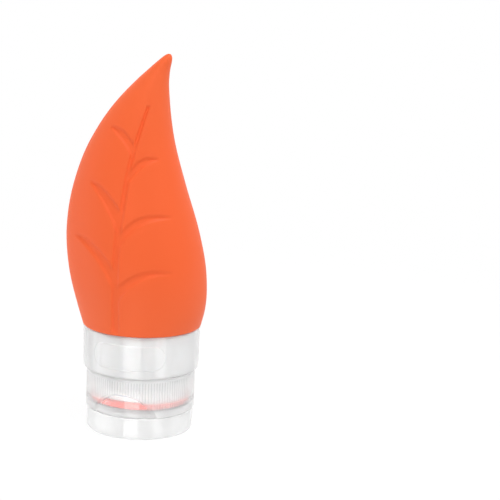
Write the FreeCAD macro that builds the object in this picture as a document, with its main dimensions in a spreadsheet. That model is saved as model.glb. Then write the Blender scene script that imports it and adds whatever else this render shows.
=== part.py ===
import FreeCAD, Part
import os
import re

import Sketcher

# Travel squeeze bottle: a leaf-shaped silicone body that stands on its clear flip-top screw cap.
# The origin is the centre of the lid's resting face. +Z runs up the cap's axis towards the tip of
# the leaf, -Y is the front with the thumb scoop, and the lid's hinge is at the back. Millimetres.

# Driving dimensions, one cell each
SIZES = {
    # Flip lid
    "lid_height": 7.45,
    "lid_inset": 0.35,
    "lid_wall": 1.5,
    "lid_floor": 1.4,
    "lid_edge_round": 1.4,
    "lid_gap": 0.1,
    "pin_clearance": 0.3,
    "pin_reach": 1.2,
    # Hinge strap at the back
    "strap_width": 9.0,
    "strap_thickness": 0.6,
    "strap_reach": 1.6,
    "strap_clearance": 0.05,
    # Screw cap
    "rim_depth": 0.9,
    "rim_rest": 1.17,
    "plate_thickness": 1.6,
    "skirt_height": 13.1,
    "skirt_wall": 1.42,
    "skirt_round": 0.7,
    "knurl_count": 120,
    "knurl_depth": 0.25,
    "knurl_width": 0.6,
    "knurl_low_margin": 2.2,
    "knurl_top_margin": 0.9,
    "scoop_depth": 0.7,
    "scoop_height": 7.6,
    "scoop_radius": 11.5,
    "spout_clearance": 3.0,
    "spout_wall": 1.8,
    "spout_round": 0.6,
    "orifice_radius": 1.6,
    # Slit valve and the ring that holds it
    "valve_radius": 6.0,
    "valve_thickness": 1.0,
    "valve_dish_radius": 3.2,
    "valve_dish_depth": 0.4,
    "slit_length": 4.0,
    "slit_width": 0.2,
    "seat_clearance": 0.05,
    "seat_wall": 1.1,
    "seat_height": 2.8,
    "retainer_width": 2.0,
    "retainer_height": 1.6,
    # Sealing ring
    "gasket_thickness": 2.1,
    "gasket_width": 4.0,
    "gasket_clearance": 0.3,
    "gasket_round": 0.5,
    # Screw thread, two starts
    "thread_lead": 6.0,
    "thread_starts": 2,
    "thread_depth": 0.9,
    "thread_base": 1.4,
    "thread_crest": 0.8,
    "thread_clearance": 0.35,
    "thread_margin": 0.45,
    "thread_root": 0.3,
    # Neck ring and the liner inside the soft neck
    "tube_radius": 15.2,
    "tube_wall": 1.8,
    "barrel_wall": 1.5,
    "web_thickness": 1.6,
    "grip_depth": 0.5,
    "grip_height": 1.5,
    "grip_lift": 2.6,
    "insert_wall": 1.2,
    "insert_length": 9.0,
    "flange_thickness": 2.0,
    "flange_inset": 0.3,
    # Turning sleeve with the contents window
    "running_gap": 0.25,
    "sleeve_height": 14.1,
    "sleeve_step": 1.08,
    "sleeve_flare": 0.25,
    "sleeve_wall": 1.55,
    "sleeve_lip": 1.3,
    "sleeve_low_round": 1.1,
    "sleeve_top_round": 0.5,
    "window_length": 23.6,
    "window_height": 8.4,
    "window_rise": 0.3,
    "window_lift": 7.1,
    "window_turn": 6.0,
    # Silicone body
    "neck_wall": 2.0,
    "leaf_wall": 2.2,
    "leaf_height": 88.65,
    "leaf_tip_shift": 6.6,
    "leaf_tip_solid": 8.0,
    "leaf_base_flare": 0.1,
}

# Leaf sections: share of the leaf's height, then sideways shift, half width and half depth,
# each as a share of the radius of the leaf's round base
LEAF_SECTIONS = (
    (0.06, -0.0223, 1.0933, 0.9819),
    (0.20, -0.1088, 1.1917, 0.9637),
    (0.36, -0.2124, 1.1451, 0.8808),
    (0.52, -0.2746, 0.9663, 0.7513),
    (0.68, -0.2409, 0.7202, 0.5803),
    (0.84, -0.0440, 0.4145, 0.3679),
    (0.95, 0.2176, 0.1658, 0.1606),
    (0.985, 0.3010, 0.0920, 0.0900),
)

# How many sections next to the tip are solid
SOLID_TIP_COUNT = 2

# Radii and heights that follow from the driving dimensions
PLACES = {
    "cap_inner": "tube_radius + thread_depth + thread_clearance",
    "skirt_radius": "cap_inner + skirt_wall",
    "recess_radius": "skirt_radius - scoop_depth - rim_rest",
    "lid_radius": "skirt_radius - lid_inset",
    "lid_inner": "lid_radius - lid_wall",
    "pin_radius": "orifice_radius - pin_clearance",
    "spout_radius": "orifice_radius + spout_wall",
    "strap_inner": "skirt_radius + strap_clearance",
    "strap_outer": "strap_inner + strap_thickness",
    "seat_inner": "valve_radius + seat_clearance",
    "seat_outer": "seat_inner + seat_wall",
    "retainer_inner": "valve_radius - retainer_width",
    "gasket_radius": "cap_inner - gasket_clearance",
    "gasket_inner": "gasket_radius - gasket_width",
    "tube_inner": "tube_radius - tube_wall",
    "grip_radius": "tube_inner - grip_depth",
    "neck_bore": "tube_inner - neck_wall",
    "insert_bore": "neck_bore - insert_wall",
    "flange_radius": "tube_radius - flange_inset",
    "sleeve_low_radius": "skirt_radius + sleeve_step",
    "sleeve_top_radius": "sleeve_low_radius + sleeve_flare",
    "sleeve_inner": "sleeve_low_radius - sleeve_wall",
    "barrel_radius": "sleeve_inner - running_gap",
    "barrel_inner": "barrel_radius - barrel_wall",
    "sleeve_lip_inner": "barrel_inner + running_gap",
    "shoulder_bore": "barrel_inner - neck_wall",
    "leaf_base_radius": "sleeve_top_radius + leaf_base_flare",
    "parting": "lid_height",
    "lid_top": "parting - lid_gap",
    "spout_tip": "lid_floor + spout_clearance",
    "pin_top": "spout_tip + pin_reach",
    "plate_bottom": "parting + rim_depth",
    "plate_top": "plate_bottom + plate_thickness",
    "valve_top": "plate_top + valve_thickness",
    "gasket_top": "plate_top + gasket_thickness",
    "ring_end": "gasket_top + flange_thickness",
    "grip_bottom": "ring_end + grip_lift",
    "grip_top": "grip_bottom + grip_height",
    "skirt_top": "parting + skirt_height",
    "sleeve_bottom": "skirt_top + running_gap",
    "web_top": "sleeve_bottom + web_thickness",
    "sleeve_top": "sleeve_bottom + sleeve_height",
    "lip_bottom": "sleeve_top - sleeve_lip",
    "barrel_top": "lip_bottom - running_gap",
    "shoulder": "sleeve_top + running_gap",
    "cavity_floor": "shoulder + leaf_wall",
    "neck_thread_start": "ring_end + thread_margin + thread_base / 2",
    "thread_rise": "sleeve_bottom - ring_end - 2 * thread_margin - thread_base",
    "thread_pitch": "thread_lead / thread_starts",
    "cap_thread_start": "neck_thread_start + thread_pitch / 2",
    "cap_thread_rise": "thread_rise - thread_pitch / 2",
}

document = FreeCAD.newDocument("travel_squeeze_bottle")
sheet = document.addObject("Spreadsheet::Sheet", "Sizes")


def fill_sheet():
    """Write each driving dimension as a plain number with its name as the alias."""
    for row, (name, size) in enumerate(SIZES.items(), start=1):
        sheet.set(f"A{row}", name)
        sheet.set(f"B{row}", str(size))
        sheet.setAlias(f"B{row}", name)
    columns = ("share", "shift", "half_width", "half_depth")
    first_row = len(SIZES) + 2
    for index, section in enumerate(LEAF_SECTIONS, start=1):
        for column, title, size in zip("BCDE", columns, section):
            cell = f"{column}{first_row + index}"
            sheet.set(cell, str(size))
            sheet.setAlias(cell, f"leaf_{title}_{index}")
    document.recompute()


def formula(text):
    """Turn a formula in plain names into an expression on the sheet's cells."""
    def lookup(match):
        word = match.group(0)
        if word in PLACES:
            return f"({formula(PLACES[word])})"
        return f"Sizes.{word}"
    return re.sub(r"[a-z][a-z_0-9]*", lookup, text)


def number(text):
    """Work out a formula in plain names."""
    return float(sheet.evalExpression(formula(text)))


def bind(item, **formulas):
    """Bind an object's properties to formulas in plain names; a double underscore stands for a dot."""
    for path, text in formulas.items():
        item.setExpression(path.replace("__", "."), formula(text))
    return item


def new_body(label):
    """Start a body under the name of its sub-part."""
    body = document.addObject("PartDesign::Body", label)
    body.Label = label
    return body


def new_sketch(body, name, plane):
    """Attach a sketch to one of the body's own origin planes."""
    sketch = body.newObject("Sketcher::SketchObject", name)
    support = next(item for item in body.Origin.OriginFeatures if item.Role == plane)
    sketch.AttachmentSupport = [(support, "")]
    sketch.MapMode = "FlatFace"
    return sketch


def pin_vertex(sketch, line, axis, text):
    """Hold the start of a line at a formula's distance from the origin along one sketch axis."""
    kind = "DistanceX" if axis == "x" else "DistanceY"
    if text == "0":
        sketch.addConstraint(Sketcher.Constraint("PointOnObject", line, 1, -2 if axis == "x" else -1))
        return
    negative = text.startswith("-")
    size = text.lstrip("-")
    ends = (line, 1, -1, 1) if negative else (-1, 1, line, 1)
    index = sketch.addConstraint(Sketcher.Constraint(kind, *ends, number(size)))
    sketch.setExpression(f"Constraints[{index}]", formula(size))


def draw_outline(sketch, points):
    """Draw a closed outline of straight lines through points given as pairs of formulas."""
    corners = [FreeCAD.Vector(number(across), number(up), 0) for across, up in points]
    count = len(corners)
    for index, corner in enumerate(corners):
        sketch.addGeometry(Part.LineSegment(corner, corners[(index + 1) % count]), False)
    for index in range(count):
        sketch.addConstraint(Sketcher.Constraint("Coincident", index, 2, (index + 1) % count, 1))
    for index, (across, up) in enumerate(points):
        pin_vertex(sketch, index, "x", across)
        pin_vertex(sketch, index, "y", up)


def revolve(body, points):
    """Turn an outline of radius and height formulas about the cap's axis."""
    sketch = new_sketch(body, f"{body.Label}_outline", "XZ_Plane")
    draw_outline(sketch, points)
    turned = body.newObject("PartDesign::Revolution", f"{body.Label}_turned")
    turned.Profile = sketch
    turned.ReferenceAxis = (sketch, ["V_Axis"])
    turned.Angle = 360
    document.recompute()
    return turned


def ring_edge(feature, radius, height):
    """Find the round edge of a given radius at a given height."""
    for index, edge in enumerate(feature.Shape.Edges, start=1):
        curve = edge.Curve
        if not isinstance(curve, Part.Circle):
            continue
        if abs(curve.Radius - number(radius)) < 1e-4 and abs(curve.Center.z - number(height)) < 1e-4:
            return f"Edge{index}"
    raise ValueError(f"no round edge at {radius}, {height}")


def round_edge(body, feature, radius, height, size):
    """Round one circular edge of a turned piece."""
    rounded = body.newObject("PartDesign::Fillet", f"{size}_of_{body.Label}")
    rounded.Base = (feature, [ring_edge(feature, radius, height)])
    bind(rounded, Radius=size)
    document.recompute()
    return rounded


def repeat_round(body, feature, sketch, count):
    """Repeat a feature evenly about the cap's axis."""
    pattern = body.newObject("PartDesign::PolarPattern", f"{feature.Name}_round")
    pattern.Originals = [feature]
    pattern.Axis = (sketch, ["V_Axis"])
    pattern.Angle = 360
    bind(pattern, Occurrences=count)
    body.Tip = pattern
    document.recompute()
    return pattern


def add_thread(body, root, crest, start, rise):
    """Wind a two-start thread ridge, given its root and crest radii, start height and rise."""
    sketch = new_sketch(body, f"{body.Label}_ridge", "XZ_Plane")
    draw_outline(sketch, (
        (root, f"{start} - thread_base / 2"),
        (crest, f"{start} - thread_crest / 2"),
        (crest, f"{start} + thread_crest / 2"),
        (root, f"{start} + thread_base / 2"),
    ))
    ridge = body.newObject("PartDesign::AdditiveHelix", f"{body.Label}_thread")
    ridge.Profile = sketch
    ridge.ReferenceAxis = (sketch, ["V_Axis"])
    ridge.Mode = "pitch-height-angle"
    bind(ridge, Pitch="thread_lead", Height=rise)
    document.recompute()
    return repeat_round(body, ridge, sketch, "thread_starts")


def cylinder(name, radius, bottom, top):
    """An upright cylinder on the cap's axis between two heights."""
    solid = document.addObject("Part::Cylinder", name)
    return bind(solid, Radius=radius, Height=f"{top} - ({bottom})", Placement__Base__z=bottom)


def fuse(name, *shapes):
    """Join several shapes into one."""
    joined = document.addObject("Part::MultiFuse", name)
    joined.Shapes = list(shapes)
    joined.Refine = True
    return joined


def cut(name, base, tool):
    """Take one shape away from another."""
    result = document.addObject("Part::Cut", name)
    result.Base = base
    result.Tool = tool
    return result


def common(name, *shapes):
    """Keep only what several shapes share."""
    result = document.addObject("Part::MultiCommon", name)
    result.Shapes = list(shapes)
    return result


def oval(height, shift, half_width, half_depth):
    """A level ellipse about a point beside the cap's axis."""
    centre = FreeCAD.Vector(shift, 0, height)
    side = centre + FreeCAD.Vector(half_width, 0, 0)
    front = centre + FreeCAD.Vector(0, half_depth, 0)
    if half_width == half_depth:
        curve = Part.Circle(centre, FreeCAD.Vector(0, 0, 1), half_width)
    elif half_width > half_depth:
        curve = Part.Ellipse(side, front, centre)
    else:
        curve = Part.Ellipse(front, side, centre)
    return Part.Wire([curve.toShape()])


def leaf_solid(name, inset, floor, section_count, tip_shift, tip_height):
    """Loft the leaf through its ovals, each drawn in by the inset, from a floor up to a point."""
    base_radius = number("leaf_base_radius") - inset
    ovals = [oval(number(floor), 0, base_radius, base_radius)]
    for index in range(1, section_count + 1):
        height = number(f"shoulder + leaf_share_{index} * leaf_height")
        shift = number(f"leaf_shift_{index} * leaf_base_radius")
        half_width = number(f"leaf_half_width_{index} * leaf_base_radius") - inset
        half_depth = number(f"leaf_half_depth_{index} * leaf_base_radius") - inset
        ovals.append(oval(height, shift, half_width, half_depth))
    ovals.append(Part.Vertex(number(tip_shift), 0, number(tip_height)))
    leaf = document.addObject("Part::Feature", name)
    leaf.Shape = Part.makeLoft(ovals, True)
    return leaf


def bottle_body():
    """Hollow leaf with a shoulder and a stepped neck that is gripped by the neck ring."""
    tip = "shoulder + leaf_height"
    count = len(LEAF_SECTIONS)
    wall = number("leaf_wall")
    skin = leaf_solid("leaf_skin", 0, "shoulder", count, "leaf_tip_shift", tip)
    hollow_count = count - SOLID_TIP_COUNT
    hollow_shift = f"leaf_shift_{hollow_count + 1} * leaf_base_radius / 2"
    hollow_tip = f"{tip} - leaf_tip_solid"
    hollow = leaf_solid("leaf_hollow", wall, "cavity_floor", hollow_count, hollow_shift, hollow_tip)
    upper_neck = cylinder("upper_neck", "barrel_inner", "web_top", "shoulder")
    lower_neck = cylinder("lower_neck", "tube_inner", "ring_end", "web_top")
    upper_bore = cylinder("upper_bore", "shoulder_bore", "web_top + neck_wall", "cavity_floor")
    lower_bore = cylinder("lower_bore", "neck_bore", "ring_end", "web_top + neck_wall")
    groove_outer = cylinder("groove_outer", "tube_radius", "grip_bottom", "grip_top")
    groove_inner = cylinder("groove_inner", "grip_radius", "grip_bottom", "grip_top")
    groove = cut("neck_groove", groove_outer, groove_inner)
    outside = fuse("bottle_outside", skin, upper_neck, lower_neck)
    inside = fuse("bottle_inside", hollow, upper_bore, lower_bore)
    grooved = cut("grooved_outside", outside, groove)
    return cut("bottle_body", grooved, inside)


def neck_ring():
    """Hard collar on the soft neck: a barrel under the sleeve and a threaded tube inside the cap."""
    body = new_body("neck_ring")
    revolve(body, (
        ("tube_inner", "ring_end"),
        ("tube_radius", "ring_end"),
        ("tube_radius", "sleeve_bottom"),
        ("barrel_radius", "sleeve_bottom"),
        ("barrel_radius", "barrel_top"),
        ("barrel_inner", "barrel_top"),
        ("barrel_inner", "web_top"),
        ("tube_inner", "web_top"),
        ("tube_inner", "grip_top"),
        ("grip_radius", "grip_top"),
        ("grip_radius", "grip_bottom"),
        ("tube_inner", "grip_bottom"),
    ))
    root = "tube_radius - thread_root"
    crest = "tube_radius + thread_depth"
    add_thread(body, root, crest, "neck_thread_start", "thread_rise")
    return body


def neck_insert():
    """Hard liner that keeps the soft neck round, with a flange that closes its end."""
    body = new_body("neck_insert")
    revolve(body, (
        ("insert_bore", "gasket_top"),
        ("flange_radius", "gasket_top"),
        ("flange_radius", "ring_end"),
        ("neck_bore", "ring_end"),
        ("neck_bore", "ring_end + insert_length"),
        ("insert_bore", "ring_end + insert_length"),
    ))
    return body


def window_prism():
    """The window's outline, a rectangle with round ends, run through the front of the sleeve."""
    reach = "sleeve_top_radius + 2 * window_rise"
    straight = "window_length - window_height"
    middle = document.addObject("Part::Box", "window_middle")
    bind(middle, Length=straight, Width=reach, Height="window_height")
    bind(middle, Placement__Base__x=f"-({straight}) / 2", Placement__Base__y=f"-({reach})")
    bind(middle, Placement__Base__z="sleeve_bottom + window_lift - window_height / 2")
    ends = []
    for side, sign in (("left", "-"), ("right", "")):
        end = document.addObject("Part::Cylinder", f"window_{side}_end")
        end.Placement.Rotation = FreeCAD.Rotation(FreeCAD.Vector(1, 0, 0), 90)
        bind(end, Radius="window_height / 2", Height=reach, Placement__Base__x=f"{sign}({straight}) / 2")
        bind(end, Placement__Base__z="sleeve_bottom + window_lift")
        ends.append(end)
    return fuse("window_prism", middle, *ends)


def window_sleeve():
    """Clear sleeve that turns on the neck ring, with a raised oval window at the front."""
    body = new_body("sleeve_wall_body")
    turned = revolve(body, (
        ("sleeve_low_radius", "sleeve_bottom"),
        ("sleeve_top_radius", "sleeve_top"),
        ("sleeve_lip_inner", "sleeve_top"),
        ("sleeve_lip_inner", "lip_bottom"),
        ("sleeve_inner", "lip_bottom"),
        ("sleeve_inner", "sleeve_bottom"),
    ))
    rounded = round_edge(body, turned, "sleeve_low_radius", "sleeve_bottom", "sleeve_low_round")
    round_edge(body, rounded, "sleeve_top_radius", "sleeve_top", "sleeve_top_round")
    pad_outer = cylinder("pad_outer", "sleeve_top_radius + window_rise", "sleeve_bottom", "sleeve_top")
    pad_inner = cylinder("pad_inner", "sleeve_low_radius - sleeve_wall / 2", "sleeve_bottom", "sleeve_top")
    pad_band = cut("pad_band", pad_outer, pad_inner)
    pad = common("window_pad", pad_band, window_prism())
    sleeve = fuse("window_sleeve", body, pad)
    sleeve.Placement.Rotation = FreeCAD.Rotation(FreeCAD.Vector(0, 0, 1), number("window_turn"))
    return bind(sleeve, Placement__Rotation__Angle="window_turn")


def cap_gasket():
    """Soft sealing ring between the cap's plate and the neck."""
    body = new_body("cap_gasket")
    turned = revolve(body, (
        ("gasket_inner", "plate_top"),
        ("gasket_radius", "plate_top"),
        ("gasket_radius", "gasket_top"),
        ("gasket_inner", "gasket_top"),
    ))
    round_edge(body, turned, "gasket_radius", "gasket_top", "gasket_round")
    return body


def knurl_skirt(body):
    """Cut the fine upright grip grooves round the skirt."""
    sketch = new_sketch(body, "knurl_groove", "XY_Plane")
    bind(sketch, AttachmentOffset__Base__z="parting + knurl_low_margin")
    draw_outline(sketch, (
        ("skirt_radius - knurl_depth", "0"),
        ("skirt_radius + knurl_depth", "knurl_width"),
        ("skirt_radius + knurl_depth", "-knurl_width"),
    ))
    groove = body.newObject("PartDesign::Pocket", "knurl_pocket")
    groove.Profile = sketch
    groove.Reversed = True
    bind(groove, Length="skirt_height - knurl_low_margin - knurl_top_margin")
    document.recompute()
    pattern = body.newObject("PartDesign::PolarPattern", "knurl_round")
    pattern.Originals = [groove]
    pattern.Axis = (sketch, ["N_Axis"])
    pattern.Angle = 360
    bind(pattern, Occurrences="knurl_count")
    body.Tip = pattern
    document.recompute()


def scoop_block():
    """Block for the thumb scoop: a round arch across the front, kept to a band of the scoop's depth."""
    arch = document.addObject("Part::Cylinder", "scoop_arch")
    arch.Placement.Rotation = FreeCAD.Rotation(FreeCAD.Vector(1, 0, 0), 90)
    reach = "skirt_radius + scoop_depth"
    bind(arch, Radius="scoop_radius", Height=reach)
    bind(arch, Placement__Base__z="parting + scoop_height - scoop_radius")
    outer = cylinder("scoop_outside", reach, "parting - scoop_depth", "skirt_top")
    inner = cylinder("scoop_inside", "skirt_radius - scoop_depth", "parting - scoop_depth", "skirt_top")
    band = cut("scoop_band", outer, inner)
    return common("scoop_block", arch, band)


def cap_base():
    """Clear screw cap: knurled skirt, plate with spout and valve seat, inner thread and thumb scoop."""
    body = new_body("cap_body")
    turned = revolve(body, (
        ("orifice_radius", "spout_tip"),
        ("spout_radius", "spout_tip"),
        ("spout_radius", "plate_bottom"),
        ("recess_radius", "plate_bottom"),
        ("recess_radius", "parting"),
        ("skirt_radius", "parting"),
        ("skirt_radius", "skirt_top"),
        ("cap_inner", "skirt_top"),
        ("cap_inner", "plate_top"),
        ("seat_outer", "plate_top"),
        ("seat_outer", "plate_top + seat_height"),
        ("seat_inner", "plate_top + seat_height"),
        ("seat_inner", "plate_top"),
        ("orifice_radius", "plate_top"),
    ))
    rounded = round_edge(body, turned, "skirt_radius", "parting", "skirt_round")
    rounded = round_edge(body, rounded, "skirt_radius", "skirt_top", "skirt_round")
    round_edge(body, rounded, "spout_radius", "spout_tip", "spout_round")
    root = "cap_inner + thread_root"
    crest = "cap_inner - thread_depth"
    add_thread(body, root, crest, "cap_thread_start", "cap_thread_rise")
    knurl_skirt(body)
    return cut("cap_base", body, scoop_block())


def drip_valve():
    """Soft disc over the spout, dished at the middle and cut by a cross slit."""
    body = new_body("drip_valve")
    revolve(body, (
        ("0", "plate_top + valve_dish_depth"),
        ("valve_dish_radius - valve_dish_depth", "plate_top + valve_dish_depth"),
        ("valve_dish_radius", "plate_top"),
        ("valve_radius", "plate_top"),
        ("valve_radius", "valve_top"),
        ("0", "valve_top"),
    ))
    slits = (("slit_across", "slit_length", "slit_width"), ("slit_along", "slit_width", "slit_length"))
    for name, across, along in slits:
        sketch = new_sketch(body, name, "XY_Plane")
        draw_outline(sketch, (
            (f"-{across} / 2", f"-{along} / 2"),
            (f"{across} / 2", f"-{along} / 2"),
            (f"{across} / 2", f"{along} / 2"),
            (f"-{across} / 2", f"{along} / 2"),
        ))
        slit = body.newObject("PartDesign::Pocket", f"{name}_cut")
        slit.Profile = sketch
        slit.Reversed = True
        slit.Type = "ThroughAll"
        document.recompute()
    return body


def valve_retainer():
    """Ring pressed into the valve seat on top of the valve."""
    body = new_body("valve_retainer")
    revolve(body, (
        ("retainer_inner", "valve_top"),
        ("valve_radius", "valve_top"),
        ("valve_radius", "valve_top + retainer_height"),
        ("retainer_inner", "valve_top + retainer_height"),
    ))
    return body


def flip_lid():
    """Clear cup-shaped lid with a rounded edge and a pin that plugs the spout."""
    body = new_body("flip_lid")
    turned = revolve(body, (
        ("0", "0"),
        ("lid_radius", "0"),
        ("lid_radius", "lid_top"),
        ("lid_inner", "lid_top"),
        ("lid_inner", "lid_floor"),
        ("pin_radius", "lid_floor"),
        ("pin_radius", "pin_top"),
        ("0", "pin_top"),
    ))
    round_edge(body, turned, "lid_radius", "0", "lid_edge_round")
    return body


def living_hinge():
    """Thin curved strap across the parting line at the back."""
    low = "parting - strap_reach"
    high = "parting + strap_reach"
    outer = cylinder("strap_outside", "strap_outer", low, high)
    inner = cylinder("strap_inside", "strap_inner", low, high)
    band = cut("strap_band", outer, inner)
    block = document.addObject("Part::Box", "strap_block")
    bind(block, Length="strap_width", Width="strap_outer", Height="2 * strap_reach")
    bind(block, Placement__Base__x="-strap_width / 2", Placement__Base__z=low)
    return common("living_hinge", band, block)


def check_document(pieces):
    """Stop if any object failed, or if any piece is empty, broken or not one solid."""
    for item in document.Objects:
        if "Invalid" in item.State or "Error" in item.State:
            raise RuntimeError(f"{item.Name} failed: {item.State}")
    for piece in pieces:
        if piece.Shape.isNull() or not piece.Shape.isValid() or len(piece.Shape.Solids) != 1:
            raise RuntimeError(f"{piece.Label} is not one sound solid")


def main():
    """Build every piece, check it and write it under its own name."""
    fill_sheet()
    makers = (
        bottle_body, neck_ring, neck_insert, window_sleeve, cap_gasket,
        cap_base, drip_valve, valve_retainer, flip_lid, living_hinge,
    )
    pieces = [make() for make in makers]
    document.recompute()
    check_document(pieces)
    os.makedirs("parts", exist_ok=True)
    for piece in pieces:
        piece.Shape.exportStep(f"parts/{piece.Label}.step")
        print(f"{piece.Label}: {piece.Shape.Volume / 1000:.2f} cm3")


main()
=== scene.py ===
"""Visual model of a leaf-shaped silicone squeeze bottle that stands on its clear flip-top cap."""

import logging
import math
from dataclasses import dataclass, field
from enum import Enum

import bpy
import numpy as np
from mathutils import Matrix, Vector


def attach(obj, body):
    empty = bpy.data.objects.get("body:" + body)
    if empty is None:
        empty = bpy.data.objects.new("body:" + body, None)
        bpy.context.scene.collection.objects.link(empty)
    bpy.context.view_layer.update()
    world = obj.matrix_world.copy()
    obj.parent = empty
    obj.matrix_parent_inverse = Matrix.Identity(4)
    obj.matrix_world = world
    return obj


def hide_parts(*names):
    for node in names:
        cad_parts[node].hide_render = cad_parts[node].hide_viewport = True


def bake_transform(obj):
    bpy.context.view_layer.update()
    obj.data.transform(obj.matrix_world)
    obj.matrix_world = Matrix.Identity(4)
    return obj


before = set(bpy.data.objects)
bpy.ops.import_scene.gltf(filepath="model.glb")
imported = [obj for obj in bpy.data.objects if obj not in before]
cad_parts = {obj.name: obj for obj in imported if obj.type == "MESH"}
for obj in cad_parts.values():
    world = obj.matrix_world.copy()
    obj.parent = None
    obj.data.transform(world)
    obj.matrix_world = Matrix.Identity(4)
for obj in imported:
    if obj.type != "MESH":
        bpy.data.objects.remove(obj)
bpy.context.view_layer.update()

MM = 0.001
FULL_TURN = 2 * math.pi
SENSOR_WIDTH = 36.0
POLISH = "polish"

log = logging.getLogger("bottle")

Socket = bpy.types.NodeSocket
Inputs = dict[str | int, object]
Colour = tuple[float, float, float]
# Radius from the axis, height, rounding, and steps of the run to the next corner
Corner = tuple[float, float, float, int]


class Ends(Enum):
    """How the first and last rows of a grid of points are closed."""

    LOOP = "the last row joins the first"
    POLES = "the first and last rows each close on one point"


class Slot(Enum):
    """Material slots of the record."""

    BODY = "orange_silicone"
    MILKY = "milky_plastic"
    CLEAR = "clear_plastic"
    SEAL = "red_seal_silicone"


def linear(*screen: int) -> Colour:
    """Turn a screen colour of 0 to 255 into the linear colour that a shader takes.

    Args:
        screen: Red, green and blue level.

    Returns:
        The three linear levels, from 0 to 1.
    """
    levels = np.array(screen) / 255
    curve = np.where(levels > 0.04045, ((levels + 0.055) / 1.055) ** 2.4, levels / 12.92)
    return tuple(curve.tolist())


def grey(level: float) -> Colour:
    """Give the neutral colour of a linear level."""
    return (level, level, level)


def soft_step(values: np.ndarray) -> np.ndarray:
    """Rise smoothly from 0 at 0 to 1 at 1: three times the square less twice the cube."""
    clipped = np.clip(values, 0, 1)
    return clipped * clipped * (3 - 2 * clipped)


def smooth_curve(knots: np.ndarray, heights: np.ndarray, places: np.ndarray) -> np.ndarray:
    """Read a smooth curve that passes through a few knots.

    Each stretch is a cubic whose slope at a knot is that of the parabola through it and its two neighbours.

    Args:
        knots: Places of the knots, rising.
        heights: Height of the curve at each knot.
        places: Where to read the curve.

    Returns:
        Heights of the curve at the places.
    """
    slopes = np.gradient(heights, knots)
    index = np.clip(np.searchsorted(knots, places) - 1, 0, len(knots) - 2)
    width = knots[index + 1] - knots[index]
    share = (places - knots[index]) / width
    rest = 1 - share
    start = (1 + 2 * share) * rest**2 * heights[index] + share * rest**2 * width * slopes[index]
    after = share**2 * (3 - 2 * share) * heights[index + 1] - share**2 * rest * width * slopes[index + 1]
    return start + after


def rounded_outline(corners: list[Corner], closed: bool, arc_steps: int = 5) -> np.ndarray:
    """Draw an outline of straight runs whose corners are rounded by arcs.

    An arc touches both runs at the corner's radius times the tangent of half the turn from the corner.

    Args:
        corners: The corners in order.
        closed: Whether the last corner runs back to the first.
        arc_steps: Steps in each arc.

    Returns:
        Points as rows of radius and height.
    """
    places = np.array([corner[:2] for corner in corners], float)
    arcs = []
    for index, (_, _, rounding, _) in enumerate(corners):
        here = places[index]
        inner = closed or 0 < index < len(corners) - 1
        if rounding == 0 or not inner:
            arcs.append(here[None])
            continue
        arrive = here - places[index - 1]
        leave = places[(index + 1) % len(places)] - here
        arrive, leave = arrive / np.linalg.norm(arrive), leave / np.linalg.norm(leave)
        turn = math.atan2(arrive[0] * leave[1] - arrive[1] * leave[0], arrive @ leave)
        side = np.array([-arrive[1], arrive[0]]) * math.copysign(1, turn)
        centre = here - arrive * rounding * math.tan(abs(turn) / 2) + side * rounding
        swing = np.linspace(0, abs(turn), arc_steps + 1)[:, None]
        arcs.append(centre + rounding * (np.sin(swing) * arrive - np.cos(swing) * side))
    points = []
    for index, corner in enumerate(corners):
        points.append(arcs[index])
        last = index == len(corners) - 1
        if closed or not last:
            begin, finish = arcs[index][-1], arcs[(index + 1) % len(arcs)][0]
            shares = np.linspace(0, 1, corner[3] + 1)[1:-1, None]
            points.append(begin + (finish - begin) * shares)
    return np.vstack(points)


@dataclass
class TurnedGrid:
    """An outline turned about the upright axis, as a grid of radii, heights and angles from the front."""

    radius: np.ndarray
    height: np.ndarray
    angle: np.ndarray

    @classmethod
    def from_corners(
        cls, corners: list[Corner], columns: int, closed: bool = True, arc_steps: int = 5
    ) -> "TurnedGrid":
        """Turn a rounded outline: each row of the grid is one point of it, each column one angle.

        Args:
            corners: The outline's corners in order.
            columns: Angles in a full turn.
            closed: Whether the last corner runs back to the first.
            arc_steps: Steps in each arc.

        Returns:
            The grid.
        """
        outline = rounded_outline(corners, closed, arc_steps)
        shape = (len(outline), columns)
        angles = np.arange(columns) * FULL_TURN / columns
        radius = np.broadcast_to(outline[:, :1], shape).copy()
        height = np.broadcast_to(outline[:, 1:], shape).copy()
        return cls(radius, height, np.broadcast_to(angles, shape))

    def points(self) -> np.ndarray:
        """Place the grid: across is radius times sine, back is minus radius times cosine of the angle."""
        across, back = self.radius * np.sin(self.angle), -self.radius * np.cos(self.angle)
        return np.stack([across, back, self.height], axis=-1)


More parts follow.
